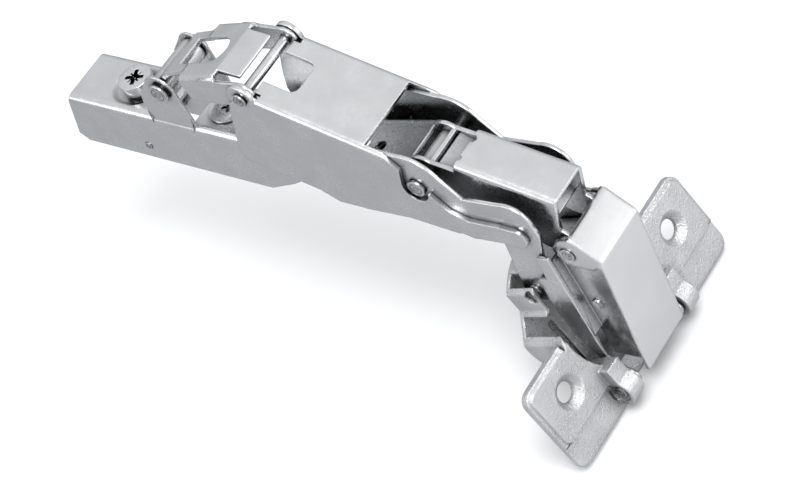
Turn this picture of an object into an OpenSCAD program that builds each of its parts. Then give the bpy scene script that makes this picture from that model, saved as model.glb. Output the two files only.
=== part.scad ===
// Concealed cup hinge with a wide opening angle, drawn fully open.
// X runs along the arm towards the cup, Y is across the hinge, Z is up from the arm.
// The origin is the centre of the cup's mouth, on the face of its screw wings.

/* [Pivots] */
// Rear pivot on the arm, along X
rear_x = -103.95; // [-104.3:0.1:-103.6]
// Rear pivot on the arm, height
rear_z = 46.65; // [46.4:0.1:47]
// Pivot of the rear lever and the channel, along X
chan_x = -72.24; // [-72.6:0.1:-72]
// Pivot of the rear lever and the channel, height
chan_z = 55.46; // [55.2:0.1:55.8]
// Main pivot of the box link and the channel, along X
main_x = -31.08; // [-31.3:0.1:-30.8]
// Main pivot of the box link and the channel, height
main_z = 36.92; // [36.7:0.1:37.2]
// Pivot of the box link's tail in the arm, along X
tail_x = -49.81; // [-50.1:0.1:-49.5]
// Pivot of the box link's tail in the arm, height
tail_z = 32.16; // [31.9:0.1:32.4]
// Pivot of the box link and the front lever, along X
link_x = 2.6; // [2.3:0.1:2.9]
// Pivot of the box link and the front lever, height
link_z = 23.06; // [22.8:0.1:23.4]
// Pivot of the front lever in the cup, along X
lever_x = 6.96; // [6.7:0.1:7.2]
// Pivot of the front lever in the cup, height
lever_z = -15.59; // [-15.9:0.1:-15.3]
// Pivot of the cranked plates in the cup, along X
plate_x = -10.24; // [-10.5:0.1:-10]
// Pivot of the cranked plates in the cup, height
plate_z = 8.4; // [8.1:0.1:8.7]

/* [Sheet and widths] */
// Thickness of the heavy sheets
sheet = 1.2; // [1.1:0.05:1.25]
// Thickness of the front lever and its cover
thin_sheet = 1; // [0.9:0.05:1.05]
// Gap between sheets that slide over each other
side_gap = 0.1; // [0.08:0.01:0.12]
// Outer half width of the box link
link_half_w = 5.8; // [5.6:0.1:5.8]
// Outer half width of the arm
arm_half_w = 8; // [7.9:0.1:8.1]
// Inner half width of the cranked plates
plate_in_w = 8.4; // [8.35:0.05:8.5]
// Thickness of the cranked plates and of the rear lever's walls
plate_t = 1; // [0.9:0.05:1.05]
// Radius of the outer bends
bend_r = 1.5; // [1.3:0.1:1.8]

/* [Arm] */
// Height of the arm's top face
arm_top = 35.5; // [35.3:0.1:35.7]
// Height of the arm's side walls
arm_wall = 16.4; // [16:0.1:17]
// Rear end of the arm at its top face
arm_end_x = -141.5; // [-142.5:0.1:-141]
// Lean of the arm's rear end
arm_lean = 4.5; // [4:0.1:5]
// Radius of the arm's ears at the rear pivot
ear_r = 4.6; // [4.4:0.1:4.8]
// Radius of the arm's nose
nose_r = 4.6; // [4.4:0.1:4.8]

/* [Screws] */
// Centre of the side screw, along X
side_screw_x = -122.8; // [-123.5:0.1:-122]
// Head radius of the side screw
side_head_r = 4.3; // [4:0.1:4.5]
// Height of the side screw's head above the arm
side_head_h = 3; // [2.8:0.1:3.2]
// Centre of the depth screw, along X
cam_x = -94; // [-94.5:0.1:-93.5]
// Radius of the depth screw's head
cam_r = 3.4; // [3.2:0.1:3.6]

/* [Pins] */
// Radius of the rear pin
rear_pin_r = 2; // [1.9:0.05:2.1]
// Radius of the pin between rear lever and channel
chan_pin_r = 1.3; // [1.2:0.05:1.5]
// Radius of the main pin
main_pin_r = 2; // [1.9:0.05:2.1]
// Radius of the pins in the box link's ends
link_pin_r = 1.8; // [1.7:0.05:1.9]
// Radius of the pins in the cup
cup_pin_r = 1.6; // [1.5:0.05:1.7]
// Running clearance around every pin
pin_gap = 0.05; // [0.03:0.01:0.08]

/* [Cup] */
// Radius of the cup
cup_r = 17.5; // [17.3:0.1:17.6]
// Depth of the cup below the wings' top face
cup_depth = 14; // [13.9:0.1:14.4]
// Half distance between the outer ends of the wings
wing_end = 34; // [33.5:0.1:34.5]
// Half distance between the wings' screw holes
wing_hole_y = 24; // [23.8:0.1:24.2]
// Radius of the wings' screw holes
wing_hole_r = 2.4; // [2.2:0.1:2.6]
// Radius of the wings' countersinks
wing_sink_r = 4.25; // [4:0.1:4.4]
// Thickness of the wings
wing_t = 2.6; // [2.4:0.1:2.8]
// Radius of the barrel bosses
boss_r = 3.7; // [3.5:0.1:3.8]

/* [Hidden] */
$fn = 64;
steel = [0.80, 0.81, 0.82];
bright = [0.90, 0.90, 0.91];
zinc = [0.74, 0.75, 0.76];
eps = 0.02;
band_in = 0.024;
big = 60;
dish_h = 0.9;
rear_p = [rear_x, rear_z];
arm_pin_p = [-120.6, 23.6];
chan_p = [chan_x, chan_z];
main_p = [main_x, main_z];
tail_p = [tail_x, tail_z];
link_p = [link_x, link_z];
lever_p = [lever_x, lever_z];
plate_p = [plate_x, plate_z];
// Side levels, from the inside out
link_in_w = link_half_w - 1.1;
lever_in_w = link_half_w + side_gap;
cover_in_w = lever_in_w + thin_sheet + side_gap;
cover_half_w = cover_in_w + thin_sheet;
plate_half_w = plate_in_w + plate_t;
strip_in_w = plate_half_w + side_gap;
strip_half_w = strip_in_w + thin_sheet;
boss_in_w = strip_half_w + 2 * side_gap;
chan_in_w = plate_half_w;
chan_half_w = chan_in_w + sheet;
arm_in_w = arm_half_w - sheet;
// Directions of the links in the open pose
rear_a = dir(rear_p, chan_p);
chan_a = -15.4;
box_a = -11;
lever_a = dir(link_p, lever_p);
cup_a = -68.87;
lever_len = norm(lever_p - link_p);
rear_len = norm(chan_p - rear_p);
// Pivots seen from the links that carry them
main_c = local(chan_p, chan_a, main_p);
link_b = local(main_p, box_a, link_p);
tail_b = local(main_p, box_a, tail_p);
boss_end = 15.4;
facet_w = 12.2;
facet_end = -7.6;
facet_top = -4.8;
lever_u = local([0, 0], cup_a, lever_p);
plate_u = local([0, 0], cup_a, plate_p);
chan_top = 1.2;
main_notch_r = 3.4;
ear_end_r = 3.6;
box_top = 7.2;
cover_top = 7.9;
cover_foot = 4.1;

function dir(a, b) = atan2(b[1] - a[1], b[0] - a[0]);
function spin(p, a) = [p[0] * cos(a) - p[1] * sin(a), p[0] * sin(a) + p[1] * cos(a)];
function local(p, a, q) = spin(q - p, -a);
function unit(a) = [cos(a), sin(a)];

// Places a link drawn along X at a pivot, turned up by an angle in the side view
module at(p, a) {
    translate([p[0], 0, p[1]]) rotate([0, -a, 0]) children();
}

// Turns a side outline into a solid between two side positions
module slab(y0, y1) {
    translate([0, y1, 0]) rotate([90, 0, 0]) linear_extrude(y1 - y0) children();
}

// The same slab on both sides of the hinge
module both(y0, y1) {
    slab(y0, y1) children();
    slab(-y1, -y0) children();
}

// Straight-sided band between two circles, given as [x, z, radius]
module band(c, d) {
    a = atan2(d[1] - c[1], d[0] - c[0]);
    b = acos((c[2] - d[2]) / norm([d[0] - c[0], d[1] - c[1]]));
    p = [c[0], c[1]];
    q = [d[0], d[1]];
    u = c[2] * (1 - band_in);
    v = d[2] * (1 - band_in);
    polygon([p + u * unit(a + b), q + v * unit(a + b), q + v * unit(a - b), p + u * unit(a - b)]);
}

// Smooth bar through a row of circles, between two side positions
module bar(y0, y1, row) {
    translate([0, y1, 0]) rotate([90, 0, 0]) {
        for (c = row) translate([c[0], c[1], 0]) cylinder(r = c[2], h = y1 - y0);
        for (i = [0 : len(row) - 2]) linear_extrude(y1 - y0) band(row[i], row[i + 1]);
    }
}

// The same bar on both sides of the hinge
module bars(y0, y1, row) {
    bar(y0, y1, row);
    bar(-y1, -y0, row);
}

// Rounded section of a folded channel, its top edge at zero
module fold_section(hw, h, r) {
    translate([-hw, -h]) square([2 * hw, h - r]);
    translate([-hw + r, -h]) square([2 * (hw - r), h]);
    for (s = [-1, 1]) translate([s * (hw - r), -r]) circle(r);
}

// Channel folded from sheet along X, open below
module folded(l, hw, h, t, r) {
    rotate([90, 0, 90]) linear_extrude(l) difference() {
        fold_section(hw, h, r);
        translate([0, -t]) fold_section(hw - t, h, max(r - t, 0.2));
    }
}

// Pin across the hinge
module pin_at(p, r, hw) {
    translate([p[0], 0, p[1]]) rotate([90, 0, 0]) cylinder(r = r, h = 2 * hw, center = true);
}

// Flat rivet heads on both ends of a pin
module heads_at(p, r, y0, y1) {
    for (s = [-1, 1]) translate([p[0], s * (y0 + y1) / 2, p[1]])
        rotate([90, 0, 0]) cylinder(r = r, h = y1 - y0, center = true);
}

module arm_outline() {
    bottom = arm_top - arm_wall;
    polygon([
        [arm_end_x, arm_top], [arm_end_x - arm_lean, bottom + 2.2], [arm_end_x - 2, bottom],
        [-125, bottom], [-123.6, bottom - 0.7], [-120.2, bottom - 0.7], [-118.8, bottom],
        [-83, bottom], [-74, 23.2], [-69.5, 26], [-62, 26], [tail_x, tail_z - nose_r - 2.6],
        [tail_x + nose_r, tail_z - 2.6], [tail_x + nose_r, tail_z],
        [tail_x, tail_z + nose_r - 0.5], [tail_x - 3, arm_top]]);
    for (z = [tail_z - 2.6, tail_z]) translate([tail_x, z]) circle(nose_r);
}

module ear_outline() {
    translate(rear_p) circle(ear_r);
    polygon([
        [-113, arm_top - 2], [-113.3, 40], [-112.1, 44.1], rear_p + ear_r * unit(125),
        rear_p + ear_r * unit(0), [-98.7, 37.4], [-100, arm_top - 2]]);
}

module arm() {
    color(steel) difference() {
        union() {
            intersection() {
                translate([-150, 0, arm_top]) folded(115, arm_half_w, arm_wall, sheet, bend_r + 0.4);
                slab(-big, big) arm_outline();
            }
            both(arm_in_w, arm_half_w) ear_outline();
        }
        // the top web stops short of the box link's tail
        translate([tail_x - 9, -arm_in_w, tail_z - 6]) cube([30, 2 * arm_in_w, 20]);
        // window under the rear lever's knuckle
        translate([-109.5, -arm_in_w + 0.4, arm_top - 3]) cube([9, 2 * arm_in_w - 0.8, 10]);
        // slot of the side screw
        for (x = [side_screw_x - 2.2, side_screw_x])
            translate([x, 0, arm_top - 3]) cylinder(r = 2.8, h = 6);
        translate([side_screw_x - 2.2, -2.8, arm_top - 3]) cube([2.2, 5.6, 6]);
        // dish around the slot
        for (x = [side_screw_x - 2.2, side_screw_x])
            translate([x, 0, arm_top - dish_h]) cylinder(r1 = 4.6, r2 = 5.9, h = dish_h + eps);
        translate([side_screw_x, 0, arm_top - dish_h]) rotate([90, 0, -90]) linear_extrude(2.2)
            polygon([[-4.6, 0], [4.6, 0], [5.9, dish_h + eps], [-5.9, dish_h + eps]]);
        translate([cam_x, 0, arm_top - 3]) cylinder(r = cam_r + 1.2, h = 6);
        pin_at(rear_p, rear_pin_r, big);
        // the opened pivot: a long hole in place of a round one
        bars(arm_in_w - 1, arm_half_w + 1, [[tail_x, tail_z - 3.05, 2.5], [tail_x + 0.1, tail_z + 0.7, 2.5]]);
        pin_at(arm_pin_p, 1.1, big);
    }
}

module side_screw() {
    color(bright) difference() {
        union() {
            translate([side_screw_x, 0, arm_top + 0.6]) cylinder(r = side_head_r, h = side_head_h);
            translate([side_screw_x, 0, arm_top - dish_h]) cylinder(r = 3.5, h = dish_h + 0.7);
            translate([side_screw_x, 0, arm_top - 9]) cylinder(r = 2.4, h = 9.5);
        }
        for (a = [0, 90]) translate([side_screw_x, 0, arm_top + side_head_h - 0.2]) rotate([0, 0, a + 20])
            cube([5, 1.1, 3.4], center = true);
        for (a = [0, 90]) translate([side_screw_x, 0, arm_top + side_head_h + 0.3]) rotate([0, 0, a + 65])
            cube([4, 0.4, 2], center = true);
    }
}

module cam_screw() {
    color(steel) difference() {
        translate([cam_x, 0, arm_top - 4]) cylinder(r = 2.3, h = 4.6);
        for (a = [0, 90]) translate([cam_x, 0, arm_top + 0.6]) rotate([0, 0, a + 30])
            cube([3.6, 0.9, 2], center = true);
    }
}

module cam_bush() {
    color(bright) difference() {
        union() {
            translate([cam_x, 0, arm_top - 4]) cylinder(r = cam_r, h = 4.2);
            translate([cam_x, 0, arm_top + 0.1]) cylinder(r = cam_r + 1.6, h = 0.6);
        }
        translate([cam_x, 0, arm_top - 5]) cylinder(r = 2.3, h = 8);
    }
}

module arm_pin() {
    color(steel) {
        pin_at(arm_pin_p, 1.1, arm_half_w + 0.25);
    }
}

module rear_lever() {
    knuckle_r = rear_pin_r + pin_gap + 1.25;
    tongue_w = arm_in_w - 0.2;
    color(steel) difference() {
        union() {
            // body with two walls
            at(rear_p, rear_a) intersection() {
                translate([0, 0, 5.6]) folded(45, plate_half_w - side_gap, 16, plate_t, bend_r);
                slab(-big, big) {
                    polygon([[13.4, 6], [13, -0.4], [14.2, -1.4], [22, -2.7], [rear_len, -3.6], [rear_len + 0.2, 6]]);
                    translate([rear_len, 0]) circle(3.7);
                }
                translate([10, -big, -10]) cube([16, 2 * big, 30]);
            }
            // walls that carry the pin, and the tab over it
            at(rear_p, rear_a) {
                bars(plate_in_w - side_gap, plate_half_w - side_gap, [[22, 1.2, 3.9], [rear_len, 0, 3.2]]);
                bar(-6.5, 6.5, [[25.6, 5.1, 0.5], [31.4, 2.9, 0.5]]);
            }
            // tongue that runs back to the knuckle
            at(rear_p, rear_a) bar(-tongue_w, tongue_w, [[14.5, 5, 0.6], [6.5, 4.5, 0.6], [1.2, 2.5, 0.6]]);
            pin_at(rear_p, knuckle_r, tongue_w);
        }
        pin_at(rear_p, rear_pin_r + pin_gap, big);
        pin_at(chan_p, chan_pin_r, big);
        // window in the top
        at(rear_p, rear_a) {
            translate([19.5, 0, 0]) cylinder(r = 4.1, h = 20);
            translate([9.5, -4.1, 3.4]) cube([10, 8.2, 20]);
        }
    }
}

module rear_pin() {
    color(steel) {
        pin_at(rear_p, rear_pin_r, arm_half_w + 0.3);
        heads_at(rear_p, rear_pin_r + 0.8, arm_half_w, arm_half_w + 0.7);
    }
}

module channel_outline() {
    // tall wall, neck and finger
    difference() {
        polygon([
            [-3.8, -3.4], [-4.8, -16], [-4.7, -22], [-3.6, -24.6], [0.5, -24.8], [8, -24.2],
            [17, -24.2], [22, -25.6], [30.4, -23.3], [42, -19.2], [55, -16.9],
            [55, -11.6], [48.2, -6.6], [43.4, -3.2], [36.4, 1.4], [33, chan_top], [1, chan_top]]);
        // room for the head of the main rivet
        translate(main_c) circle(main_notch_r);
        translate(main_c + [-main_notch_r, 0]) square([2 * main_notch_r, 14]);
    }
}

module channel() {
    color(steel) difference() {
        union() {
            at(chan_p, chan_a) difference() {
                union() {
                    intersection() {
                        translate([-12, 0, chan_top]) folded(90, chan_half_w, 30, sheet, bend_r);
                        slab(-big, big) channel_outline();
                    }
                    // raised ears at the rear lever's pin
                    both(chan_in_w - 0.4, chan_half_w) circle(ear_end_r);
                    // fingers beside the cranked plates
                    bars(chan_in_w, chan_half_w, [
                        [50, -13.2, 3.6], [58, -13.4, 2.9], [66, -10.4, 2.7], [69.8, -9.5, 2.7]]);
                }
                // open front and rear of the top web
                translate([32.2, -chan_in_w, -12]) cube([60, 2 * chan_in_w, 30]);
                translate([-20, -chan_in_w, -12]) cube([22.6, 2 * chan_in_w, 30]);
                for (y = [-chan_in_w, plate_in_w - 0.3])
                    translate([-20, y, -12]) cube([24.3, chan_in_w - plate_in_w + 0.3, 30]);
                // notch in the rear edge of the web
                translate([-5, -4.6, -3]) cube([14, 9.2, 10]);
                translate([-5, -2.6, -3]) cube([16, 5.2, 10]);
                for (y = [-2.6, 2.6]) translate([9, y, -3]) cylinder(r = 2, h = 10);
            }
        }
        pin_at(chan_p, chan_pin_r + pin_gap, big);
    }
}

module channel_pin() {
    color(bright) {
        pin_at(chan_p, chan_pin_r, chan_half_w + 0.1);
        heads_at(chan_p, chan_pin_r + 0.5, chan_half_w + 0.1, chan_half_w + 0.7);
    }
}

module cranked_plate() {
    difference() {
        bar(plate_in_w, plate_half_w, [
            [main_x - 12, main_z + 1.4, 8.2], [main_x - 1.2, main_z, 9.2], [main_x + 9.2, main_z - 6.2, 5],
            [-8, 31.6, 5.6], [-7.4, 29, 5.6], [plate_x, plate_z, 3.6]]);
        pin_at(main_p, main_pin_r, big);
        pin_at(plate_p, cup_pin_r, big);
    }
}

module plate_far() {
    color(steel) cranked_plate();
}

module plate_near() {
    color(steel) mirror([0, 1, 0]) cranked_plate();
}

module inner_link() {
    color(steel) difference() {
        union() {
            // box, open below
            at(main_p, box_a) intersection() {
                translate([8.2, 0, box_top]) folded(25.3, link_half_w, 22, 1.1, bend_r);
                slab(-big, big) polygon([[6, 10], [6, -4.8], [8.2, -5.2], [30, -9.6], [34.6, -6], [34.6, 10]]);
            }
            // walls of the tail and the eyes
            bars(link_in_w, link_half_w, [[tail_x, tail_z, 5], [main_x, main_z, 5.2]]);
            at(main_p, box_a) {
                bars(link_in_w, link_half_w, [[0, 0.5, 4.3], [12, 0.9, 4.5]]);
                bars(link_in_w, link_half_w, [[link_b[0] - 6, link_b[1] + 1.2, 4.6], [link_b[0], link_b[1], 3.6]]);
            }
            // bar across the round end
            at(main_p, box_a) translate([1.3, -link_in_w - 0.4, 3.4]) cube([1.2, 2 * link_in_w + 0.8, 1.2]);
            // floor of the tail
            at(main_p, dir(tail_p, main_p)) translate([-18, -link_in_w - 0.4, -4.7])
                cube([21.4, 2 * link_in_w + 0.8, 1.1]);
        }
        // wavy rear edge of the box's top
        at(main_p, box_a) {
            translate([8.2, 2.6, 5]) cylinder(r = 1.1, h = 4);
            translate([8.2, -3.2, 5]) cylinder(r = 0.7, h = 4);
        }
        pin_at(main_p, main_pin_r + pin_gap, big);
        pin_at(link_p, link_pin_r + pin_gap, big);
        pin_at(tail_p, link_pin_r, big);
    }
}

module main_pin() {
    color(steel) {
        pin_at(main_p, main_pin_r, plate_half_w);
        heads_at(main_p, main_pin_r + 0.3, plate_half_w, plate_half_w + 0.9);
    }
}

module main_sleeve() {
    color(bright) difference() {
        pin_at(main_p, main_pin_r + 1.1, link_in_w - 0.05);
        pin_at(main_p, main_pin_r + pin_gap, big);
    }
}

module tail_pin() {
    color(bright) pin_at(tail_p, link_pin_r, arm_half_w);
}

module leaf_spring() {
    color(bright) at(main_p, box_a) bar(-link_in_w + 0.02, link_in_w - 0.02,
        [[3.6, 3.9, 0.35], [9, 3, 0.35], [22, 3, 0.35], [31, -2, 0.35]]);
}

module lever_outline() {
    circle(3.8);
    polygon([
        [-3.6, 1.4], [1.6, cover_top - thin_sheet], [lever_len, cover_foot - thin_sheet],
        [lever_len, -2], [lever_len - 2, -5], [8, -5], [0, -4]]);
}

module front_lever() {
    web_lean = dir([1.6, cover_top], [lever_len, cover_foot]);
    color(steel) difference() {
        at(link_p, lever_a) union() {
            // inner walls and the web under the cover
            intersection() {
                both(lever_in_w, lever_in_w + thin_sheet) lever_outline();
                slab(-big, big) polygon([[-8, -5], [lever_len - 3, -5], [lever_len - 3, 20], [-8, 20]]);
            }
            translate([1.6, 0, cover_top - thin_sheet]) rotate([0, -web_lean, 0])
                translate([1.2, -lever_in_w - 0.4, -thin_sheet - 0.15])
                cube([lever_len - 6.2, 2 * lever_in_w + 0.8, thin_sheet]);
            // outer strips and the step between
            both(strip_in_w, strip_half_w) strip_outline();
            both(lever_in_w + 0.4, strip_half_w - 0.4) polygon([[8.6, -4.9], [26, -4.9], [26, -3.9], [8.6, -3.9]]);
        }
        pin_at(link_p, link_pin_r, big);
        pin_at(lever_p, cup_pin_r + pin_gap, big);
        at(link_p, lever_a) pin_at([17.5, -0.9], 1.3, big);
    }
}

module strip_outline() {
    polygon([[-0.4, -3.8], [-0.2, -7], [7, -7.8], [7.6, -10.3], [16, -11], [25.8, -9.8], [36, -5],
        [lever_len + 0.4, -2.1], [lever_len - 0.6, 2], [lever_len - 6, -4]]);
    translate([lever_len, 0]) circle(2.4);
}

module cover_outline() {
    polygon([
        [-5, 2.6], [1.2, cover_top + 0.6], [2.4, cover_top + 0.5], [lever_len - 0.5, cover_foot],
        [lever_len - 0.5, cover_foot - thin_sheet], [4.5, cover_top - 0.9], [5, -1], [2, -4], [-3.9, -0.5]]);
}

module front_cover() {
    color(bright) difference() {
        at(link_p, lever_a) union() {
            // web and top, one bent strip
            slab(-cover_half_w, cover_half_w) difference() {
                cover_outline();
                polygon([[-4, 1.4], [1.6, cover_top - thin_sheet + 0.4], [2.2, cover_top - thin_sheet],
                    [lever_len, cover_foot - thin_sheet], [lever_len, -20], [-20, -20], [-20, -1]]);
            }
            // side lips around the pivot
            both(cover_in_w, cover_half_w) polygon([[-4.6, 2.4], [1.4, cover_top], [3, cover_top - 0.5],
                [4.6, 5], [3.6, -2.6], [-1, -4], [-4, -1]]);
        }
        pin_at(link_p, link_pin_r, big);
    }
}

module cover_rivets() {
    color(steel) at(link_p, lever_a) for (s = [-1, 1]) translate([17.5, s * (lever_in_w + 0.8), -0.9])
        rotate([90, 0, 0]) cylinder(r = 1.3, h = 1.6, center = true);
}

module link_pin() {
    color(steel) {
        pin_at(link_p, link_pin_r, cover_half_w + 0.3);
    }
}

module wing(s) {
    // raised pad and the lower strip beside it
    mirror([0, s < 0 ? 1 : 0, 0]) difference() {
        union() {
            translate([0, 0, -wing_t]) linear_extrude(wing_t) union() {
                translate([-2.5, 12]) square([16.5, wing_end - 15]);
                translate([0.5, 12]) square([13.5, wing_end - 12]);
                translate([0.5, wing_end - 3]) circle(3);
                translate([11, wing_end - 3]) circle(3);
            }
            translate([0, 0, -wing_t]) linear_extrude(wing_t - 1) union() {
                translate([8, 12]) square([13.6, wing_end - 15]);
                translate([8, 12]) square([10.6, wing_end - 12]);
                translate([18.6, wing_end - 3]) circle(3);
            }
        }
        translate([6.1, wing_hole_y, -10]) cylinder(r = wing_hole_r, h = 20);
        translate([6.1, wing_hole_y, -1.6]) cylinder(r1 = wing_hole_r, r2 = wing_sink_r, h = 1.6 + eps);
    }
}

module cup() {
    wall = 1.2;
    room_w = strip_half_w + 0.3;
    color(zinc) at([0, 0], cup_a) difference() {
        union() {
            difference() {
                union() {
                    translate([0, 0, -cup_depth]) cylinder(r = cup_r, h = cup_depth - 0.8);
                    for (s = [-1, 1]) wing(s);
                }
                // bowl, narrower between the facets
                intersection() {
                    translate([0, 0, -cup_depth + wall]) cylinder(r = cup_r - wall, h = 40);
                    union() {
                        translate([-big, -facet_w + wall, -big]) cube([big, 2 * (facet_w - wall), 2 * big]);
                        translate([facet_end + wall, -big, -big]) cube([big, 2 * big, 2 * big]);
                    }
                }
                // facets beside the plate pivot, with a step above them
                for (m = [0, 1]) mirror([0, m, 0]) {
                    translate([0, 0, -30]) linear_extrude(60) polygon([[-30, facet_w], [facet_end, facet_w],
                        [facet_end + 7, facet_w + 6], [-30, facet_w + 6]]);
                    translate([-30, 10.6, facet_top]) cube([31.2 + facet_end, 20, 60]);
                }
            }
            // front strip between the wings
            translate([12, -13, -4.4]) cube([9.6, 26, 2.8]);
            // raised rear rim between the cranked plates
            intersection() {
                translate([0, 0, -3]) difference() {
                    cylinder(r = cup_r, h = 4.5);
                    translate([0, 0, -1]) cylinder(r = cup_r - wall, h = 8);
                }
                translate([-30, -plate_in_w + 0.3, -10]) cube([16, 2 * plate_in_w - 0.6, 30]);
            }
            // barrel bosses at the lever pivot and the blocks beside them
            for (s = [-1, 1]) translate([0, s * (boss_in_w + boss_end) / 2, 0]) {
                translate([lever_u[0], 0, lever_u[1]]) rotate([90, 0, 0])
                    cylinder(r = boss_r, h = boss_end - boss_in_w, center = true);
                translate([lever_u[0] - 7.5, -(boss_end - boss_in_w) / 2, -2])
                    cube([7.5, boss_end - boss_in_w, lever_u[1] + 2 + boss_r - 1.6]);
            }
        }
        // room for the levers
        for (y = [-room_w, plate_in_w - 0.3])
            translate([-30, y, -cup_depth + wall]) cube([20, room_w - plate_in_w + 0.3, 60]);
        translate([-12.6, -room_w, -cup_depth + wall]) cube([24.8, 2 * room_w, 60]);
        translate([12, -room_w, -2.1]) cube([20, 2 * room_w, 60]);
        translate([12, -room_w, -5.2]) cube([cup_r - wall - 12.5, 2 * room_w, 60]);
        translate([12, -plate_in_w, -4]) cube([20, 2 * plate_in_w, 60]);
        // slots that the plates swing into
        for (y = [-plate_half_w - 0.3, plate_in_w - 0.3])
            translate([0, y, -cup_depth + 0.4]) cube([30, plate_t + 0.6, 60]);
        translate([lever_u[0], 0, lever_u[1]]) rotate([90, 0, 0]) cylinder(r = cup_pin_r, h = 40, center = true);
        for (s = [-1, 1]) translate([lever_u[0], s * (boss_end + 0.1), lever_u[1]]) rotate([90, 0, 0])
            cylinder(r = 2.5, h = 1.2, center = true);
        translate([plate_u[0], 0, plate_u[1]]) rotate([90, 0, 0]) cylinder(r = cup_pin_r, h = 40, center = true);
    }
}

module cup_plate_pin() {
    color(steel) pin_at(plate_p, cup_pin_r, plate_half_w + 0.6);
}

module cup_lever_pin() {
    color(steel) heads_at(lever_p, cup_pin_r, strip_in_w, boss_end - 0.4);
}

arm();
side_screw();
cam_screw();
cam_bush();
arm_pin();
rear_lever();
rear_pin();
channel();
channel_pin();
plate_near();
plate_far();
inner_link();
main_pin();
main_sleeve();
tail_pin();
leaf_spring();
front_lever();
front_cover();
cover_rivets();
link_pin();
cup();
cup_plate_pin();
cup_lever_pin();
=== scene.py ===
"""Looks of a wide-angle concealed cup hinge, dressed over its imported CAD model.

Every visible piece is a finer copy of a CAD node, its edges rounded as pressing,
turning or casting leaves them, with the metal's own grain. Units are metres.
"""

from __future__ import annotations

import logging
import math
from dataclasses import dataclass, field
from enum import Enum
from typing import ClassVar

import bmesh
import bpy
from mathutils import Matrix, Vector
from mathutils.bvhtree import BVHTree

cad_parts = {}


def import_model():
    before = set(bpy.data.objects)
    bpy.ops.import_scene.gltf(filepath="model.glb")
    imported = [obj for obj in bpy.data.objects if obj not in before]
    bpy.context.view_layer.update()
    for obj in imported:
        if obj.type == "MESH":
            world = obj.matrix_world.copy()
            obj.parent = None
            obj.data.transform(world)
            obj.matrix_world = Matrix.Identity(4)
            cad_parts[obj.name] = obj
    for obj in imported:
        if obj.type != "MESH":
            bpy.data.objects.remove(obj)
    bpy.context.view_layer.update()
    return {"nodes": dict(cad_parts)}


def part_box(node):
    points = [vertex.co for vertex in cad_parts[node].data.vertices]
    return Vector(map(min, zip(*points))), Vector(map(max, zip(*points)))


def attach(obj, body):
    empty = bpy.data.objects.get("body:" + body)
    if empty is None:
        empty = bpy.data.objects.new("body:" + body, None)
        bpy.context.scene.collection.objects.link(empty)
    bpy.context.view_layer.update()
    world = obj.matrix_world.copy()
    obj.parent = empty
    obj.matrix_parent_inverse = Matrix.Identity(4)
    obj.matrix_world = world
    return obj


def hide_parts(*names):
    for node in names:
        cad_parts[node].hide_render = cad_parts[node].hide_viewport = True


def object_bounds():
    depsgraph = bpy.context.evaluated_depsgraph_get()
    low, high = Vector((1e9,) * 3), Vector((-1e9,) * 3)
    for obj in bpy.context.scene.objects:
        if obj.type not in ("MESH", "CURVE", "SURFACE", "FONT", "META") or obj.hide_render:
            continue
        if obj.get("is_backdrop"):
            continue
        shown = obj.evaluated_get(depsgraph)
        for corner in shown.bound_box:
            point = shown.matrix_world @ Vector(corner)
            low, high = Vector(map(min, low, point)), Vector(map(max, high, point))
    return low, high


logging.basicConfig(level=logging.INFO, format="%(name)s: %(message)s")
log = logging.getLogger("hinge")

MM = 0.001

Colour = tuple[float, float, float]
Point = tuple[float, float]
Socket = bpy.types.NodeSocket


class Grain(Enum):
    """How the surface of a metal piece was made."""

    ROLLED = "rolled"
    TURNED = "turned"
    CAST = "cast"
    POLISHED = "polished"


@dataclass(frozen=True)
class Finish:
    """One metal finish and its surface detail.

    Args:
        name: Name of the material.
        tone: Colour of the clean metal.
        shade: Colour of the duller patches.
        roughness: Lowest and highest roughness.
        grain: How the surface was made.
        grain_per_mm: How many grains fit in a millimetre.
        depth: Height of the grain, in metres.
        edge: Radius of the light that an edge catches, in metres.
        centre: Axis of the turned rings, as x and z, for turned pieces.
        painted_shade_reach: How far from a corner the painted shade reaches, in metres.
        painted_shade_share: Share of the colour that the painted shade leaves deep in a corner.
    """

    name: str
    tone: Colour
    shade: Colour
    roughness: tuple[float, float]
    grain: Grain
    grain_per_mm: float
    depth: float
    edge: float
    centre: Point = (0.0, 0.0)
    # Reach and depth of the painted shade in corners.
    painted_shade_reach: float = 5.0 * MM
    painted_shade_share: float = 0.1


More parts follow.
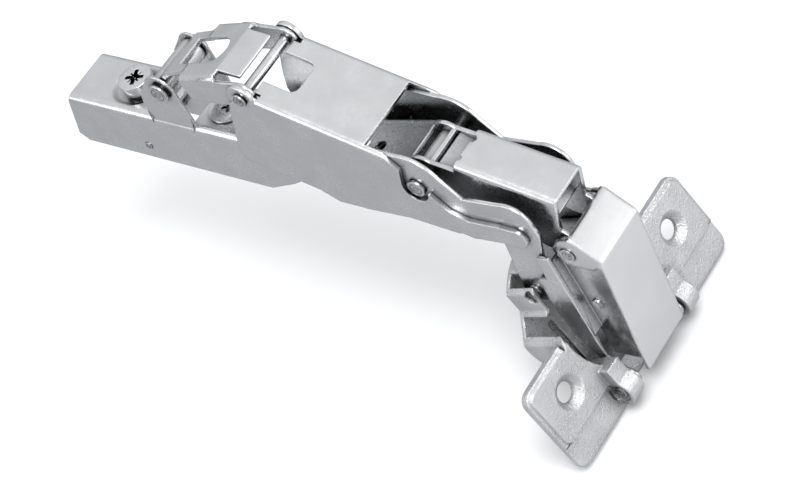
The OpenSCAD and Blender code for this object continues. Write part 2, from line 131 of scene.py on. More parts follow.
class Graph:
    """Node graph of a material or of the sky, with short ways to add and join nodes."""

    def __init__(self, owner: bpy.types.Material | bpy.types.World) -> None:
        """Empties the owner's node graph.

        Args:
            owner: The material or the world that the graph belongs to.
        """
        owner.use_nodes = True
        self.tree = owner.node_tree
        self.tree.nodes.clear()

    def add(self, kind: str, **values: object) -> bpy.types.Node:
        """Adds a node and sets its properties or its input sockets.

        Args:
            kind: Type name of the node.
            **values: Property names, or socket names with spaces as underscores.

        Returns:
            The new node.
        """
        node = self.tree.nodes.new(kind)
        for key, value in values.items():
            socket = key.replace("_", " ")
            if hasattr(node, key):
                setattr(node, key, value)
            else:
                node.inputs[socket].default_value = value
        return node

    def join(self, out: Socket, into: Socket) -> None:
        """Joins an output socket to an input socket."""
        self.tree.links.new(out, into)

    def span(self, value: Socket, source: tuple[float, float], target: tuple[float, float]) -> Socket:
        """Maps a value from one range to another and holds it there.

        Args:
            value: The value to map.
            source: Its range.
            target: The range that is wanted.

        Returns:
            The mapped value.
        """
        node = self.add("ShaderNodeMapRange")
        for name, limit in zip(("From Min", "From Max", "To Min", "To Max"), (*source, *target)):
            node.inputs[name].default_value = limit
        self.join(value, node.inputs["Value"])
        return node.outputs["Result"]

    def ramp(self, value: Socket, stops: list[tuple[float, Colour]]) -> Socket:
        """Turns a value into a colour that runs through stops.

        Args:
            value: The value, from 0 to 1.
            stops: Positions and their colours, in order.

        Returns:
            The colour.
        """
        node = self.add("ShaderNodeValToRGB")
        marks = node.color_ramp.elements
        marks[0].position = stops[0][0]
        marks[0].color = (*stops[0][1], 1.0)
        marks[1].position = stops[-1][0]
        marks[1].color = (*stops[-1][1], 1.0)
        for position, colour in stops[1:-1]:
            marks.new(position).color = (*colour, 1.0)
        self.join(value, node.inputs["Fac"])
        return node.outputs["Color"]


class MetalPaint:
    """Makes the node material of a finish, once for each name."""

    made: dict[str, bpy.types.Material] = {}
    patches_per_metre = 140.0
    fine_per_metre = 900.0
    patch_edges = (0.32, 0.68)
    # Painted edge highlight: the colour that edges are lightened towards, and how much.
    edge_highlight_tone = (0.95, 0.95, 0.96, 1.0)
    edge_highlight_share = 0.65
    refraction = 2.0

    @classmethod
    def of(cls, finish: Finish) -> bpy.types.Material:
        """Gives the material of a finish, and makes it the first time.

        Args:
            finish: The finish that is wanted.

        Returns:
            The Blender material.
        """
        if finish.name not in cls.made:
            cls.made[finish.name] = cls(finish).material
        return cls.made[finish.name]

    def __init__(self, finish: Finish) -> None:
        """Builds the graph: colour patches, roughness, grain, lit edges with a painted edge highlight,
        and painted shade in corners.

        Args:
            finish: The finish to build.
        """
        self.finish = finish
        self.material = bpy.data.materials.new(finish.name)
        graph = self.graph = Graph(self.material)
        place = graph.add("ShaderNodeTexCoord").outputs["Object"]
        patches = self._patches(place)
        rounded = graph.add("ShaderNodeBevel", samples=6, Radius=finish.edge)
        bump = graph.add("ShaderNodeBump", Strength=0.6, Distance=finish.depth)
        graph.join(self._grain(place), bump.inputs["Height"])
        graph.join(rounded.outputs["Normal"], bump.inputs["Normal"])
        shader = graph.add("ShaderNodeBsdfPrincipled", Metallic=1.0)
        shader.inputs["IOR"].default_value = self.refraction
        graph.join(self._colour(patches, rounded), shader.inputs["Base Color"])
        graph.join(self._roughness(place, patches), shader.inputs["Roughness"])
        graph.join(bump.outputs["Normal"], shader.inputs["Normal"])
        out = graph.add("ShaderNodeOutputMaterial")
        graph.join(shader.outputs["BSDF"], out.inputs["Surface"])

    def _scaled(self, place: Socket, size: tuple[float, float, float]) -> Socket:
        """Stretches coordinates.

        Args:
            place: Coordinates in metres.
            size: Repeats per metre along each axis.

        Returns:
            The stretched coordinates.
        """
        mapping = self.graph.add("ShaderNodeMapping")
        mapping.inputs["Scale"].default_value = size
        self.graph.join(place, mapping.inputs["Vector"])
        return mapping.outputs["Vector"]

    def _noise(self, vector: Socket, detail: float, rough: float = 0.5) -> Socket:
        """Adds a noise texture at unit scale.

        Args:
            vector: Coordinates, already scaled.
            detail: Number of octaves.
            rough: How strong the finer octaves are.

        Returns:
            The noise value.
        """
        noise = self.graph.add("ShaderNodeTexNoise", Scale=1.0, Detail=detail, Roughness=rough)
        self.graph.join(vector, noise.inputs["Vector"])
        return noise.outputs["Fac"]

    def _patches(self, place: Socket) -> Socket:
        """Gives broad soft patches, some millimetres across."""
        return self._noise(self._scaled(place, (self.patches_per_metre,) * 3), 3.0)

    def _colour(self, patches: Socket, rounded: bpy.types.Node) -> Socket:
        """Mixes the tone and the shade by patches, and paints a highlight along the edges.

        Args:
            patches: Broad noise.
            rounded: The bevel node, whose normal turns near an edge.

        Returns:
            The colour socket.
        """
        graph = self.graph
        low, high = self.patch_edges
        clean = graph.ramp(patches, [(low, self.finish.shade), (high, self.finish.tone)])
        flat = graph.add("ShaderNodeNewGeometry")
        turn = graph.add("ShaderNodeVectorMath", operation="DOT_PRODUCT")
        graph.join(rounded.outputs["Normal"], turn.inputs[0])
        graph.join(flat.outputs["Normal"], turn.inputs[1])
        # Painted highlight: lighter colour where the rounded normal turns away near an edge.
        edge_highlight = graph.span(turn.outputs["Value"], (0.995, 0.86), (0.0, self.edge_highlight_share))
        mix = graph.add("ShaderNodeMix", data_type="RGBA")
        graph.join(edge_highlight, mix.inputs[0])
        graph.join(clean, mix.inputs[6])
        mix.inputs[7].default_value = self.edge_highlight_tone
        return self._paint_corner_shade(mix.outputs[2])

    def _paint_corner_shade(self, colour: Socket) -> Socket:
        """Darkens the colour in corners and seams: painted shade where light reaches less.

        Args:
            colour: Colour of the open surface.

        Returns:
            The colour socket.
        """
        graph = self.graph
        # Painted shade: ambient occlusion darkens the base colour in corners and between parts.
        corner = graph.add("ShaderNodeAmbientOcclusion", samples=8, Distance=self.finish.painted_shade_reach)
        share = graph.span(corner.outputs["AO"], (0.25, 0.95), (self.finish.painted_shade_share, 1.0))
        shaded = graph.add("ShaderNodeVectorMath", operation="SCALE")
        graph.join(colour, shaded.inputs[0])
        graph.join(share, shaded.inputs["Scale"])
        return shaded.outputs["Vector"]

    def _roughness(self, place: Socket, patches: Socket) -> Socket:
        """Varies the roughness with fine noise over the broad patches.

        Args:
            place: Coordinates in metres.
            patches: Broad noise.

        Returns:
            The roughness socket.
        """
        graph = self.graph
        fine = self._noise(self._scaled(place, (self.fine_per_metre,) * 3), 2.0)
        both = graph.add("ShaderNodeMath", operation="MULTIPLY")
        graph.join(fine, both.inputs[0])
        graph.join(patches, both.inputs[1])
        return graph.span(both.outputs["Value"], (0.1, 0.4), self.finish.roughness)

    def _grain(self, place: Socket) -> Socket:
        """Gives the height of the surface's own grain.

        Args:
            place: Coordinates in metres.

        Returns:
            The height socket.
        """
        per_metre = self.finish.grain_per_mm / MM
        if self.finish.grain is Grain.ROLLED:
            return self._noise(self._scaled(place, (per_metre * 0.12, per_metre, per_metre)), 3.0)
        if self.finish.grain is Grain.TURNED:
            return self._rings(place, per_metre)
        if self.finish.grain is Grain.CAST:
            return self._pits(place, per_metre)
        return self._noise(self._scaled(place, (per_metre, per_metre, per_metre)), 2.0)

    def _rings(self, place: Socket, per_metre: float) -> Socket:
        """Gives rings round a pin's axis, which runs along Y.

        Args:
            place: Coordinates in metres.
            per_metre: Rings per metre.

        Returns:
            The height socket.
        """
        graph = self.graph
        x, z = self.finish.centre
        shift = graph.add("ShaderNodeVectorMath", operation="SUBTRACT")
        shift.inputs[1].default_value = (x, 0.0, z)
        graph.join(place, shift.inputs[0])
        flat = graph.add("ShaderNodeVectorMath", operation="MULTIPLY")
        flat.inputs[1].default_value = (1.0, 0.0, 1.0)
        graph.join(shift.outputs["Vector"], flat.inputs[0])
        length = graph.add("ShaderNodeVectorMath", operation="LENGTH")
        graph.join(flat.outputs["Vector"], length.inputs[0])
        turns = graph.add("ShaderNodeMath", operation="MULTIPLY")
        turns.inputs[1].default_value = per_metre * 2.0 * math.pi
        graph.join(length.outputs["Value"], turns.inputs[0])
        wave = graph.add("ShaderNodeMath", operation="SINE")
        graph.join(turns.outputs["Value"], wave.inputs[0])
        return wave.outputs["Value"]

    def _pits(self, place: Socket, per_metre: float) -> Socket:
        """Gives the pitted skin of a casting: fine noise with cells in it.

        Args:
            place: Coordinates in metres.
            per_metre: Grains per metre.

        Returns:
            The height socket.
        """
        graph = self.graph
        vector = self._scaled(place, (per_metre, per_metre, per_metre))
        cells = graph.add("ShaderNodeTexVoronoi", Scale=0.8)
        graph.join(vector, cells.inputs["Vector"])
        noise = self._noise(vector, 4.0, 0.7)
        total = graph.add("ShaderNodeMath", operation="MULTIPLY_ADD")
        total.inputs[1].default_value = 0.45
        graph.join(cells.outputs["Distance"], total.inputs[0])
        graph.join(noise, total.inputs[2])
        return total.outputs["Value"]


SHEET = Finish("nickel_sheet", (0.84, 0.848, 0.855), (0.77, 0.778, 0.787), (0.18, 0.30),
               Grain.ROLLED, 2.6, 0.000016, 0.0005)
COVER = Finish("nickel_cover", (0.88, 0.886, 0.893), (0.84, 0.846, 0.853), (0.20, 0.27),
               Grain.POLISHED, 1.6, 0.000006, 0.0013)
CASTING = Finish("nickel_casting", (0.80, 0.806, 0.814), (0.68, 0.686, 0.694), (0.24, 0.38),
                 Grain.CAST, 2.5, 0.00042, 0.0004)
BRIGHT = Finish("nickel_bright", (0.88, 0.885, 0.89), (0.76, 0.77, 0.78), (0.12, 0.22),
                Grain.POLISHED, 1.0, 0.000006, 0.0002)
# Dark rivet-rim material: painted shade along the rolled rims and dimple rings.
PAINTED_RIM_SHADE = Finish("rivet_rim", (0.42, 0.425, 0.435), (0.30, 0.305, 0.315), (0.25, 0.4),
             Grain.POLISHED, 1.5, 0.00001, 0.0001)
SPRING = Finish("spring_steel", (0.62, 0.63, 0.65), (0.50, 0.51, 0.53), (0.2, 0.32),
                Grain.ROLLED, 2.0, 0.000008, 0.0001)


def turned(name: str, centre: Point) -> Finish:
    """Gives the finish of a turned pin, with rings round its own axis.

    Args:
        name: Name of the pin.
        centre: The pin's axis, as x and z in metres.

    Returns:
        The finish.
    """
    return Finish(f"turned_{name}", (0.82, 0.825, 0.83), (0.68, 0.69, 0.70), (0.18, 0.3),
                  Grain.TURNED, 1.3, 0.00009, 0.00015, centre)


@dataclass(frozen=True)
class Place:
    """A link's own frame: a pivot in the side view, and the turn of its length.

    Args:
        x: Pivot along X, in metres.
        z: Pivot along Z, in metres.
        angle: Turn of the length from X towards Z, in radians.
    """

    x: float
    z: float
    angle: float

    def matrix(self) -> Matrix:
        """Gives the matrix from the link's frame to the row frame."""
        return Matrix.Translation((self.x, 0.0, self.z)) @ Matrix.Rotation(-self.angle, 4, "Y")


@dataclass
class Change:
    """A side or cross profile, drawn out into a bar that is added or cut away.

    Args:
        profile: Corners of the profile, in metres.
        start: Where the bar starts along its own direction.
        end: Where the bar ends.
        place: Frame of the profile.
        along: Direction of the bar: X, Y or Z of that frame.
        adds: True where the bar is added, False where it is cut away.
    """

    profile: list[Point]
    start: float
    end: float
    place: Place
    along: str = "Y"
    adds: bool = True

    def apply(self, form: bmesh.types.BMesh) -> bmesh.types.BMesh:
        """Adds the bar to a form or cuts it away.

        Args:
            form: The form. It is freed.

        Returns:
            The new form.
        """
        body = bpy.data.objects.new("shaping_body", self._mesh_of(form))
        tool = bpy.data.objects.new("shaping_tool", self._mesh_of(self._bar()))
        for made in (body, tool):
            bpy.context.scene.collection.objects.link(made)
        step = body.modifiers.new("shape", "BOOLEAN")
        step.object = tool
        step.operation = "UNION" if self.adds else "DIFFERENCE"
        step.solver = "EXACT"
        ready = body.evaluated_get(bpy.context.evaluated_depsgraph_get())
        result = bmesh.new()
        result.from_mesh(ready.to_mesh())
        ready.to_mesh_clear()
        for made in (body, tool):
            mesh = made.data
            bpy.data.objects.remove(made)
            bpy.data.meshes.remove(mesh)
        bmesh.ops.remove_doubles(result, verts=result.verts, dist=0.002 * MM)
        return result

    def _bar(self) -> bmesh.types.BMesh:
        """Draws the profile out into a closed bar."""
        form = bmesh.new()
        rows = [[form.verts.new(self._point(a, b, step)) for a, b in self.profile]
                for step in (self.start, self.end)]
        count = len(self.profile)
        form.faces.new(rows[0])
        form.faces.new(list(reversed(rows[1])))
        for i in range(count):
            j = (i + 1) % count
            form.faces.new((rows[0][j], rows[0][i], rows[1][i], rows[1][j]))
        bmesh.ops.recalc_face_normals(form, faces=form.faces)
        form.transform(self.place.matrix())
        return form

    def _point(self, a: float, b: float, step: float) -> tuple[float, float, float]:
        """Gives a corner of the bar.

        Args:
            a: First coordinate in the profile.
            b: Second coordinate in the profile.
            step: Position along the bar.

        Returns:
            The corner in the link's frame.
        """
        if self.along == "Y":
            return (a, step, b)
        if self.along == "X":
            return (step, a, b)
        return (a, b, step)

    @staticmethod
    def _mesh_of(form: bmesh.types.BMesh) -> bpy.types.Mesh:
        """Turns a form into a mesh and frees it."""
        mesh = bpy.data.meshes.new("shaping_mesh")
        form.to_mesh(mesh)
        form.free()
        return mesh


def disc(x: float, y: float, radius: float, corners: int = 32) -> list[Point]:
    """Gives the corners of a round profile.

    Args:
        x: First coordinate of the centre.
        y: Second coordinate of the centre.
        radius: Its radius.
        corners: How many corners it has.

    Returns:
        The corners.
    """
    turns = [2.0 * math.pi * i / corners for i in range(corners)]
    return [(x + radius * math.cos(t), y + radius * math.sin(t)) for t in turns]


@dataclass
class RivetMark:
    """Rolled rim and centre dimple on the flat end of a rivet, in a dark material: painted shade along
    the rim and round the dimple.

    Args:
        name: Name of the piece.
        body: The CAD body that it rides on.
        axis: The rivet's axis, as x and z.
        face: How far the rivet's end stands from the middle plane.
        radius: Radius of the rim.
        rim_thick: Radius of the rim's own round section.
        dimple_share: Radius of the dimple's ring, as a share of the rim's.
        dimple_thick: Radius of that ring's own round section.
        flatness: Height of a ring over its own radius of section.
    """

    name: str
    body: str
    axis: Point
    face: float
    radius: float
    rim_thick: float = 0.16 * MM
    dimple_share: float = 0.42
    dimple_thick: float = 0.11 * MM
    flatness: float = 0.6

    def build(self) -> bpy.types.Object:
        """Turns the rim and the dimple's ring for both ends of the rivet.

        Returns:
            The new object.
        """
        form = bmesh.new()
        rings = ((self.radius, self.rim_thick), (self.radius * self.dimple_share, self.dimple_thick))
        for side in (-1.0, 1.0):
            for radius, thick in rings:
                self._ring(form, side, radius, thick)
        for face in form.faces:
            face.smooth = True
        mesh = bpy.data.meshes.new(self.name)
        form.to_mesh(mesh)
        form.free()
        # The rings take the dark rim material: painted shade.
        mesh.materials.append(MetalPaint.of(PAINTED_RIM_SHADE))
        mark = bpy.data.objects.new(self.name, mesh)
        bpy.context.scene.collection.objects.link(mark)
        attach(mark, self.body)
        log.info("%s made", self.name)
        return mark

    def _ring(self, form: bmesh.types.BMesh, side: float, radius: float, thick: float) -> None:
        """Adds one raised ring, half sunk in the rivet's end.

        Args:
            form: The form that it is added to.
            side: -1 for the near end and 1 for the far end.
            radius: Radius of the ring.
            thick: Radius of the ring's own round section.
        """
        around, across = 40, 10
        section = disc(0.0, 0.0, thick, across)
        rows = []
        for i in range(around):
            t = 2.0 * math.pi * i / around
            rows.append([form.verts.new((self.axis[0] + (radius + out) * math.cos(t),
                                         side * (self.face + self.flatness * up),
                                         self.axis[1] + (radius + out) * math.sin(t)))
                         for out, up in section])
        faces = []
        for i in range(around):
            for j in range(across):
                a, b = rows[i], rows[(i + 1) % around]
                faces.append(form.faces.new((a[j], b[j], b[(j + 1) % across], a[(j + 1) % across])))
        bmesh.ops.recalc_face_normals(form, faces=faces)


@dataclass
class Piece:
    """Finer copy of one CAD node, with rounded edges.

    Args:
        node: The CAD node that it stands for.
        name: Name of the piece.
        body: The CAD body that it rides on.
        slot: The record's material slot; not used.
        finish: Its finish.
        edge: Radius of its rounded edges, in metres.
        changes: Forms that are added to the copy or cut from it.
    """

    node: str
    name: str
    body: str
    slot: str
    finish: Finish
    edge: float
    changes: list[Change] = field(default_factory=list)

    merge_gap: ClassVar[float] = 0.004 * MM
    flat_turn: ClassVar[float] = math.radians(0.8)
    sharp_turn: ClassVar[float] = math.radians(32)
    crease_turn: ClassVar[float] = math.radians(40)

    def build(self, source: bpy.types.Object) -> bpy.types.Object:
        """Makes the copy, dresses it and hides the node.

        Args:
            source: The CAD node's object.

        Returns:
            The new object.
        """
        form = bmesh.new()
        form.from_mesh(source.data)
        bmesh.ops.remove_doubles(form, verts=form.verts, dist=self.merge_gap)
        for change in self.changes:
            form = change.apply(form)
        bmesh.ops.dissolve_limit(form, angle_limit=self.flat_turn, verts=form.verts, edges=form.edges)
        skin = BVHTree.FromBMesh(form)
        self._round(form)
        self._hold_to(form, skin)
        self._keep_inside(form)
        bmesh.ops.triangulate(form, faces=[f for f in form.faces if len(f.verts) > 4])
        bmesh.ops.recalc_face_normals(form, faces=form.faces)
        for face in form.faces:
            face.smooth = True
        for edge in form.edges:
            edge.smooth = not (edge.is_manifold and edge.calc_face_angle(0.0) > self.crease_turn)
        mesh = bpy.data.meshes.new(self.name)
        form.to_mesh(mesh)
        form.free()
        piece = bpy.data.objects.new(self.name, mesh)
        bpy.context.scene.collection.objects.link(piece)
        mesh.materials.append(MetalPaint.of(self.finish))
        weighted = piece.modifiers.new("even_light", "WEIGHTED_NORMAL")
        weighted.keep_sharp = True
        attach(piece, self.body)
        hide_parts(self.node)
        log.info("%s stands for %s, with %d faces", self.name, self.node, len(mesh.polygons))
        return piece

    def _round(self, form: bmesh.types.BMesh) -> None:
        """Rounds the sharp edges whose faces hold the radius.

        Args:
            form: The mesh, changed in place.
        """
        sharp = [e for e in form.edges
                 if e.is_manifold and e.calc_face_angle(0.0) > self.sharp_turn and self._has_room(e)]
        corner = "ARC" if self.edge > 0.25 * MM else "SHARP"
        bmesh.ops.bevel(form, geom=sharp, offset=self.edge, offset_type="OFFSET", segments=2,
                        profile=0.5, affect="EDGES", clamp_overlap=False, miter_outer=corner)

    def _has_room(self, edge: bmesh.types.BMEdge) -> bool:
        """Tells whether the faces beside an edge are wide enough for the radius.

        Args:
            edge: The edge to test.

        Returns:
            True where both faces hold it.
        """
        least = 0.6 * self.edge * edge.calc_length()
        return all(face.calc_area() > least for face in edge.link_faces)

    def _hold_to(self, form: bmesh.types.BMesh, skin: BVHTree) -> None:
        """Draws points that a rounding threw too far back onto the surface.

        Args:
            form: The rounded mesh, changed in place.
            skin: The surface before the rounding.
        """
        for vert in form.verts:
            place, _, _, far = skin.find_nearest(vert.co)
            if place is not None and far > 0.7 * self.edge:
                vert.co = place

    def _keep_inside(self, form: bmesh.types.BMesh) -> None:
        """Holds every point inside the node's own box.

        Args:
            form: The mesh, changed in place.
        """
        low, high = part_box(self.node)
        for vert in form.verts:
            vert.co = Vector(tuple(min(max(c, a), b) for c, a, b in zip(vert.co, low, high)))


@dataclass
class ArmAssembly:
    """The mounting arm with its screws and the fixed pins."""

    sheet_edge: float = 0.16 * MM
    screw_edge: float = 0.14 * MM
    depth_screw_edge: float = 0.08 * MM
    cross_pin_edge: float = 0.15 * MM
    rivet_edge: float = 0.2 * MM
    arm_pin_axis: Point = (-0.1206, 0.0236)
    rear_pin_axis: Point = (-0.10395, 0.04665)
    arm_top: float = 0.0355
    half_width: float = 8.0 * MM
    bend: float = 1.9 * MM
    bend_gap: float = 0.02 * MM
    ear_face: float = 7.45 * MM
    ear_height: float = 30.0 * MM
    ear_start: float = -0.119
    ear_end: float = -0.092

    def _bend_line(self, side: float) -> Change:
        """Lets the arm's rounded bend run on in front of an ear.

        Args:
            side: -1 for the near ear and 1 for the far one.

        Returns:
            The cut.
        """
        steps = 8
        middle = self.half_width - self.bend
        low = self.arm_top - self.bend
        high = self.arm_top + self.ear_height
        outside = self.half_width + 2.0 * MM
        reach = self.bend + self.bend_gap
        last = math.acos((self.ear_face - middle) / reach)
        turns = [last * i / steps for i in range(steps + 1)]
        arc = [(middle + reach * math.cos(t), low + reach * math.sin(t)) for t in turns]
        profile = [(outside, low), *arc, (self.ear_face, high), (outside, high)]
        return Change([(side * y, z) for y, z in profile], self.ear_start, self.ear_end,
                      Place(0.0, 0.0, 0.0), "X", False)

    def pieces(self) -> list[Piece]:
        """Lists the pieces of the arm."""
        return [
            Piece("arm", "arm_sheet", "arm", "sheet", SHEET, self.sheet_edge,
                  [self._bend_line(-1.0), self._bend_line(1.0)]),
            Piece("side_screw", "side_screw_head", "arm", "bright", BRIGHT, self.screw_edge),
            Piece("cam_screw", "cam_screw_head", "arm", "pins", BRIGHT, self.depth_screw_edge),
            Piece("cam_bush", "cam_bush_collar", "arm", "bright", BRIGHT, self.screw_edge),
            Piece("arm_pin", "arm_cross_pin", "arm", "pins",
                  turned("arm_pin", self.arm_pin_axis), self.cross_pin_edge),
            Piece("rear_pin", "rear_rivet", "arm", "pins",
                  turned("rear_pin", self.rear_pin_axis), self.rivet_edge),
        ]

    def marks(self) -> list[RivetMark]:
        """Lists the marks on the arm's rivets."""
        return [
            RivetMark("rear_rivet_rims", "arm", self.rear_pin_axis, 8.7 * MM, 1.7 * MM),
            RivetMark("arm_pin_rims", "arm", self.arm_pin_axis, 8.25 * MM, 0.65 * MM),
        ]


@dataclass
class RearAssembly:
    """The rear lever and the rivet at its far end."""

    sheet_edge: float = 0.16 * MM
    rivet_edge: float = 0.15 * MM
    rivet_axis: Point = (-0.07224, 0.05546)

    def pieces(self) -> list[Piece]:
        """Lists the pieces of the rear lever."""
        return [
            Piece("rear_lever", "rear_lever_sheet", "rear_lever", "sheet", SHEET, self.sheet_edge),
            Piece("channel_pin", "channel_rivet", "rear_lever", "bright",
                  turned("channel_pin", self.rivet_axis), self.rivet_edge),
        ]

    def marks(self) -> list[RivetMark]:
        """Lists the marks on the rivet."""
        return [RivetMark("channel_rivet_rims", "rear_lever", self.rivet_axis, 11.3 * MM, 1.2 * MM)]


@dataclass
class ChannelAssembly:
    """The tall channel, the cranked plates and the rivets through them."""

    sheet_edge: float = 0.16 * MM
    channel_edge: float = 0.07 * MM
    main_edge: float = 0.2 * MM
    plate_pin_edge: float = 0.12 * MM
    main_axis: Point = (-0.03108, 0.03692)
    plate_axis: Point = (-0.01024, 0.0084)

    def pieces(self) -> list[Piece]:
        """Lists the pieces of the channel."""
        return [
            Piece("channel", "channel_sheet", "channel", "sheet", SHEET, self.channel_edge),
            Piece("plate_near", "cranked_plate_near", "channel", "sheet", SHEET, self.sheet_edge),
            Piece("plate_far", "cranked_plate_far", "channel", "sheet", SHEET, self.sheet_edge),
            Piece("main_pin", "main_rivet", "channel", "pins",
                  turned("main_pin", self.main_axis), self.main_edge),
            Piece("cup_plate_pin", "plate_rivet", "channel", "pins",
                  turned("cup_plate_pin", self.plate_axis), self.plate_pin_edge),
        ]

    def marks(self) -> list[RivetMark]:
        """Lists the marks on the main rivet."""
        return [RivetMark("main_rivet_rims", "channel", self.main_axis, 10.3 * MM, 1.45 * MM)]


@dataclass
class BoxAssembly:
    """The inner box link with its sleeve, tail pin and spring."""

    sheet_edge: float = 0.16 * MM
    sleeve_edge: float = 0.1 * MM
    tail_edge: float = 0.12 * MM
    spring_edge: float = 0.06 * MM
    main_axis: Point = (-0.03108, 0.03692)
    tail_axis: Point = (-0.04981, 0.03216)
    web_start: float = -18.5 * MM
    web_end: float = -1.6 * MM
    web_half: float = 5.1 * MM
    web_low: float = 3.5 * MM
    web_high: float = 4.6 * MM
    hole_at: Point = (-14.4 * MM, -2.2 * MM)
    hole_radius: float = 1.8 * MM

    def _tail_web(self) -> list[Change]:
        """Gives the flat web over the tail, with its round hole."""
        (x, z), (tx, tz) = self.main_axis, self.tail_axis
        place = Place(x, z, math.atan2(z - tz, x - tx))
        web = [(self.web_start, self.web_low), (self.web_end, self.web_low),
               (self.web_end, self.web_high), (self.web_start, self.web_high)]
        hole = disc(*self.hole_at, self.hole_radius)
        return [Change(web, -self.web_half, self.web_half, place),
                Change(hole, self.web_low - 1.1 * MM, self.web_high + 4.4 * MM, place, "Z", False)]

    def pieces(self) -> list[Piece]:
        """Lists the pieces of the box link."""
        return [
            Piece("inner_link", "inner_link_sheet", "box_link", "sheet", SHEET, self.sheet_edge,
                  self._tail_web()),
            Piece("main_sleeve", "main_spacer", "box_link", "bright",
                  turned("main_sleeve", self.main_axis), self.sleeve_edge),
            Piece("tail_pin", "tail_rivet", "box_link", "bright",
                  turned("tail_pin", self.tail_axis), self.tail_edge),
            Piece("leaf_spring", "closing_spring", "box_link", "bright", SPRING, self.spring_edge),
        ]

    def marks(self) -> list[RivetMark]:
        """Lists no marks, because both rivets of the box link are hidden."""
        return []


@dataclass
class LeverAssembly:
    """The front lever under its bright cover."""

    sheet_edge: float = 0.15 * MM
    cover_edge: float = 0.3 * MM
    head_edge: float = 0.12 * MM
    link_edge: float = 0.15 * MM
    link_axis: Point = (0.0026, 0.02306)
    cup_axis: Point = (0.00696, -0.01559)
    step_along: tuple[float, float] = (1.5 * MM, 9.5 * MM)
    step_up: tuple[float, float] = (-4.85 * MM, -3.95 * MM)
    step_out: tuple[float, float] = (6.3 * MM, 10.1 * MM)

    def _step(self, side: float) -> Change:
        """Gives the step between an inner wall and its outer strip, up to the eye.

        Args:
            side: -1 for the near side and 1 for the far one.

        Returns:
            The added bar.
        """
        (x, z), (cx, cz) = self.link_axis, self.cup_axis
        place = Place(x, z, math.atan2(cz - z, cx - x))
        (near, far), (low, high) = self.step_along, self.step_up
        start, end = sorted(side * out for out in self.step_out)
        return Change([(near, low), (far, low), (far, high), (near, high)], start, end, place)

    def pieces(self) -> list[Piece]:
        """Lists the pieces of the front lever."""
        return [
            Piece("front_lever", "front_lever_sheet", "front_lever", "sheet", SHEET, self.sheet_edge,
                  [self._step(-1.0), self._step(1.0)]),
            Piece("front_cover", "front_cover_sheet", "front_lever", "bright", COVER, self.cover_edge),
            Piece("cover_rivets", "cover_rivet_heads", "front_lever", "pins", BRIGHT, self.head_edge),
            Piece("link_pin", "link_rivet", "front_lever", "pins",
                  turned("link_pin", self.link_axis), self.link_edge),
        ]

    def marks(self) -> list[RivetMark]:
        """Lists the marks on the link rivet."""
        return [RivetMark("link_rivet_rims", "front_lever", self.link_axis, 8.3 * MM, 1.1 * MM)]


@dataclass
class CupAssembly:
    """The die-cast cup with its wings and the pin stubs of the lever."""

    cast_edge: float = 0.3 * MM
    stub_edge: float = 0.1 * MM
    stub_axis: Point = (0.00696, -0.01559)
    turn: float = math.radians(-68.87)
    pad_along: tuple[float, float] = (-2.5 * MM, 14.0 * MM)
    pad_out: tuple[float, float] = (15.4 * MM, 34.0 * MM)
    pad_corner: float = 2.1 * MM
    ledge: float = 0.9 * MM
    ledge_depth: float = 0.6 * MM

    def _pad_rim(self, side: float) -> Change:
        """Gives the ledge round the outer edges of a wing's raised pad.

        Args:
            side: -1 for the near wing and 1 for the far one.

        Returns:
            The cut.
        """
        steps = 6
        (left, right), (low, end) = self.pad_along, self.pad_out
        corner = self.pad_corner
        turns = [math.radians(90.0 * i / steps) for i in range(steps + 1)]
        first = left + self.ledge + corner
        last = right - corner
        top = end - self.ledge - corner
        pad = [(left + self.ledge, low)]
        pad += [(first - corner * math.cos(t), top + corner * math.sin(t)) for t in turns]
        pad += [(last + corner * math.sin(t), top + corner * math.cos(t)) for t in turns]
        rim = [(left - MM, low), (left - MM, end + MM), (right, end + MM), *reversed(pad)]
        return Change([(x, side * y) for x, y in rim], -self.ledge_depth, 2.0 * MM,
                      Place(0.0, 0.0, self.turn), "Z", False)

    def pieces(self) -> list[Piece]:
        """Lists the pieces of the cup."""
        return [
            Piece("cup", "cup_casting", "cup", "die_cast", CASTING, self.cast_edge,
                  [self._pad_rim(-1.0), self._pad_rim(1.0)]),
            Piece("cup_lever_pin", "lever_pin_stubs", "cup", "pins",
                  turned("cup_lever_pin", self.stub_axis), self.stub_edge),
        ]

    def marks(self) -> list[RivetMark]:
        """Lists the marks on the lever's pin stubs."""
        return [RivetMark("stub_rims", "cup", self.stub_axis, 15.0 * MM, 0.9 * MM)]


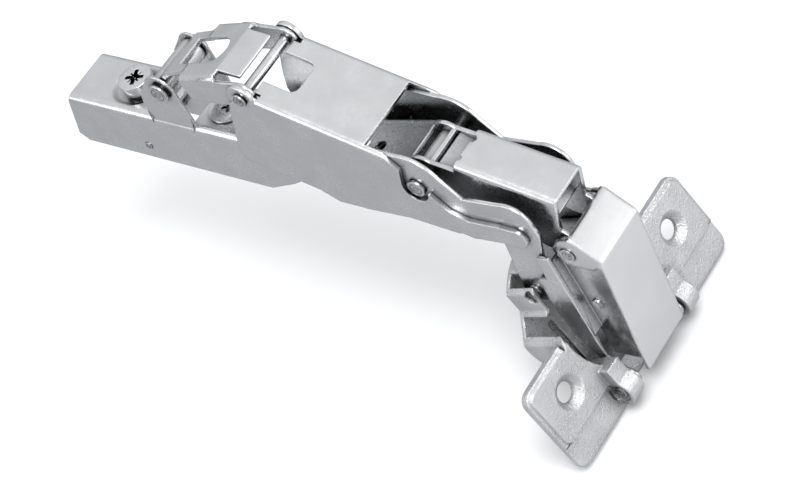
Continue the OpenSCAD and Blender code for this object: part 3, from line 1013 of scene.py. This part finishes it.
@dataclass
class Studio:
    """Pale floor, soft lights and the camera at the photograph's angle."""

    floor_radius: float = 1.6
    floor_gap: float = 0.4 * MM
    floor_middle: float = -0.05
    floor_tone: tuple[float, float, float, float] = (0.93, 0.93, 0.935, 1.0)
    # Tones of the floor's painted reflection in the metal.
    painted_reflection_left: Colour = (0.36, 0.366, 0.375)
    painted_reflection_right: Colour = (0.60, 0.605, 0.61)
    sky_low: Colour = (0.50, 0.51, 0.52)
    sky_middle: Colour = (0.66, 0.67, 0.685)
    sky_high: Colour = (0.90, 0.91, 0.92)
    sky_strength: float = 0.92
    lens: float = 112.4
    camera_at: tuple[float, float, float] = (0.2844, -0.2465, 0.4014)
    right: tuple[float, float, float] = (0.780, 0.5175, -0.351)
    up: tuple[float, float, float] = (-0.210, 0.746, 0.632)
    soft_boxes: list[tuple[tuple[float, float, float], float, float]] = field(default_factory=lambda: [
        ((0.25, -0.15, 0.8), 0.5, 5.0),
        ((0.75, 0.35, 0.3), 0.6, 1.6),
        ((-0.45, -0.55, 0.35), 0.4, 0.9),
    ])

    def build(self) -> None:
        """Makes the floor, the sky, the lights and the camera."""
        self._floor()
        self._sky()
        for number, (place, size, power) in enumerate(self.soft_boxes):
            self._soft_box(f"soft_box_{number}", place, size, power)
        self._camera()
        log.info("studio ready")

    def _floor(self) -> None:
        """Lays a pale round floor just under the hinge, which glossy rays see darker: a painted
        reflection.
        """
        form = bmesh.new()
        bmesh.ops.create_circle(form, cap_ends=True, segments=96, radius=self.floor_radius)
        mesh = bpy.data.meshes.new("studio_floor")
        form.to_mesh(mesh)
        form.free()
        floor = bpy.data.objects.new("studio_floor", mesh)
        bpy.context.scene.collection.objects.link(floor)
        floor.location = (self.floor_middle, 0.0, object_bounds()[0].z - self.floor_gap)
        material = bpy.data.materials.new("pale_floor")
        graph = Graph(material)
        seen = graph.add("ShaderNodeBsdfDiffuse", Color=self.floor_tone)
        mirrored = graph.add("ShaderNodeBsdfDiffuse")
        graph.join(self._painted_floor_reflection(graph), mirrored.inputs["Color"])
        # Painted reflection: camera rays see the pale floor, glossy rays see the darker graded tone.
        light = graph.add("ShaderNodeLightPath")
        mix = graph.add("ShaderNodeMixShader")
        graph.join(light.outputs["Is Glossy Ray"], mix.inputs["Fac"])
        graph.join(seen.outputs["BSDF"], mix.inputs[1])
        graph.join(mirrored.outputs["BSDF"], mix.inputs[2])
        out = graph.add("ShaderNodeOutputMaterial")
        graph.join(mix.outputs["Shader"], out.inputs["Surface"])
        mesh.materials.append(material)
        floor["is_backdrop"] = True

    def _painted_floor_reflection(self, graph: Graph) -> Socket:
        """Gives the floor's painted reflection in the metal: deeper on the left and pale on the right.

        Args:
            graph: The floor's graph.

        Returns:
            The colour socket.
        """
        place = graph.add("ShaderNodeTexCoord")
        split = graph.add("ShaderNodeSeparateXYZ")
        graph.join(place.outputs["Object"], split.inputs["Vector"])
        across = graph.span(split.outputs["X"], (-0.1, 0.16), (0.0, 1.0))
        return graph.ramp(across, [(0.35, self.painted_reflection_left), (0.85, self.painted_reflection_right)])

    def _sky(self) -> None:
        """Surrounds the hinge with pale light that grows towards the top."""
        world = bpy.data.worlds.new("studio_sky")
        graph = Graph(world)
        place = graph.add("ShaderNodeTexCoord")
        split = graph.add("ShaderNodeSeparateXYZ")
        graph.join(place.outputs["Generated"], split.inputs["Vector"])
        tones = [(0.0, self.sky_low), (0.45, self.sky_middle), (1.0, self.sky_high)]
        back = graph.add("ShaderNodeBackground", Strength=self.sky_strength)
        graph.join(graph.ramp(split.outputs["Z"], tones), back.inputs["Color"])
        out = graph.add("ShaderNodeOutputWorld")
        graph.join(back.outputs["Background"], out.inputs["Surface"])
        bpy.context.scene.world = world

    def _soft_box(self, name: str, place: tuple[float, float, float], size: float, power: float) -> None:
        """Hangs one square light that looks at the hinge.

        Args:
            name: Name of the light.
            place: Where it hangs.
            size: Length of its side.
            power: Its power in watts.
        """
        data = bpy.data.lights.new(name, "AREA")
        data.shape = "SQUARE"
        data.size = size
        data.energy = power
        lamp = bpy.data.objects.new(name, data)
        bpy.context.scene.collection.objects.link(lamp)
        lamp.location = place
        aim = Vector((-0.04, 0.0, 0.02)) - Vector(place)
        lamp.rotation_mode = "QUATERNION"
        lamp.rotation_quaternion = aim.to_track_quat("-Z", "Y")

    def _camera(self) -> None:
        """Sets the camera where the photographer's was."""
        data = bpy.data.cameras.new("camera")
        data.lens = self.lens
        data.sensor_width = 36.0
        data.sensor_fit = "HORIZONTAL"
        data.clip_start = 0.01
        camera = bpy.data.objects.new("camera", data)
        bpy.context.scene.collection.objects.link(camera)
        right = Vector(self.right).normalized()
        up = Vector(self.up)
        up = (up - right * up.dot(right)).normalized()
        back = right.cross(up)
        turn = Matrix((right, up, back)).transposed().to_4x4()
        camera.matrix_world = Matrix.Translation(self.camera_at) @ turn
        bpy.context.scene.camera = camera


def main() -> None:
    """Loads the frame, builds every sub-assembly and the studio."""
    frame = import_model()
    assemblies = (ArmAssembly(), RearAssembly(), ChannelAssembly(), BoxAssembly(),
                  LeverAssembly(), CupAssembly())
    for assembly in assemblies:
        for piece in assembly.pieces():
            piece.build(frame["nodes"][piece.node])
        for mark in assembly.marks():
            mark.build()
        log.info("%s done", type(assembly).__name__)
    Studio().build()
    bpy.context.scene.view_settings.view_transform = "Standard"


if __name__ == "__main__":
    main()
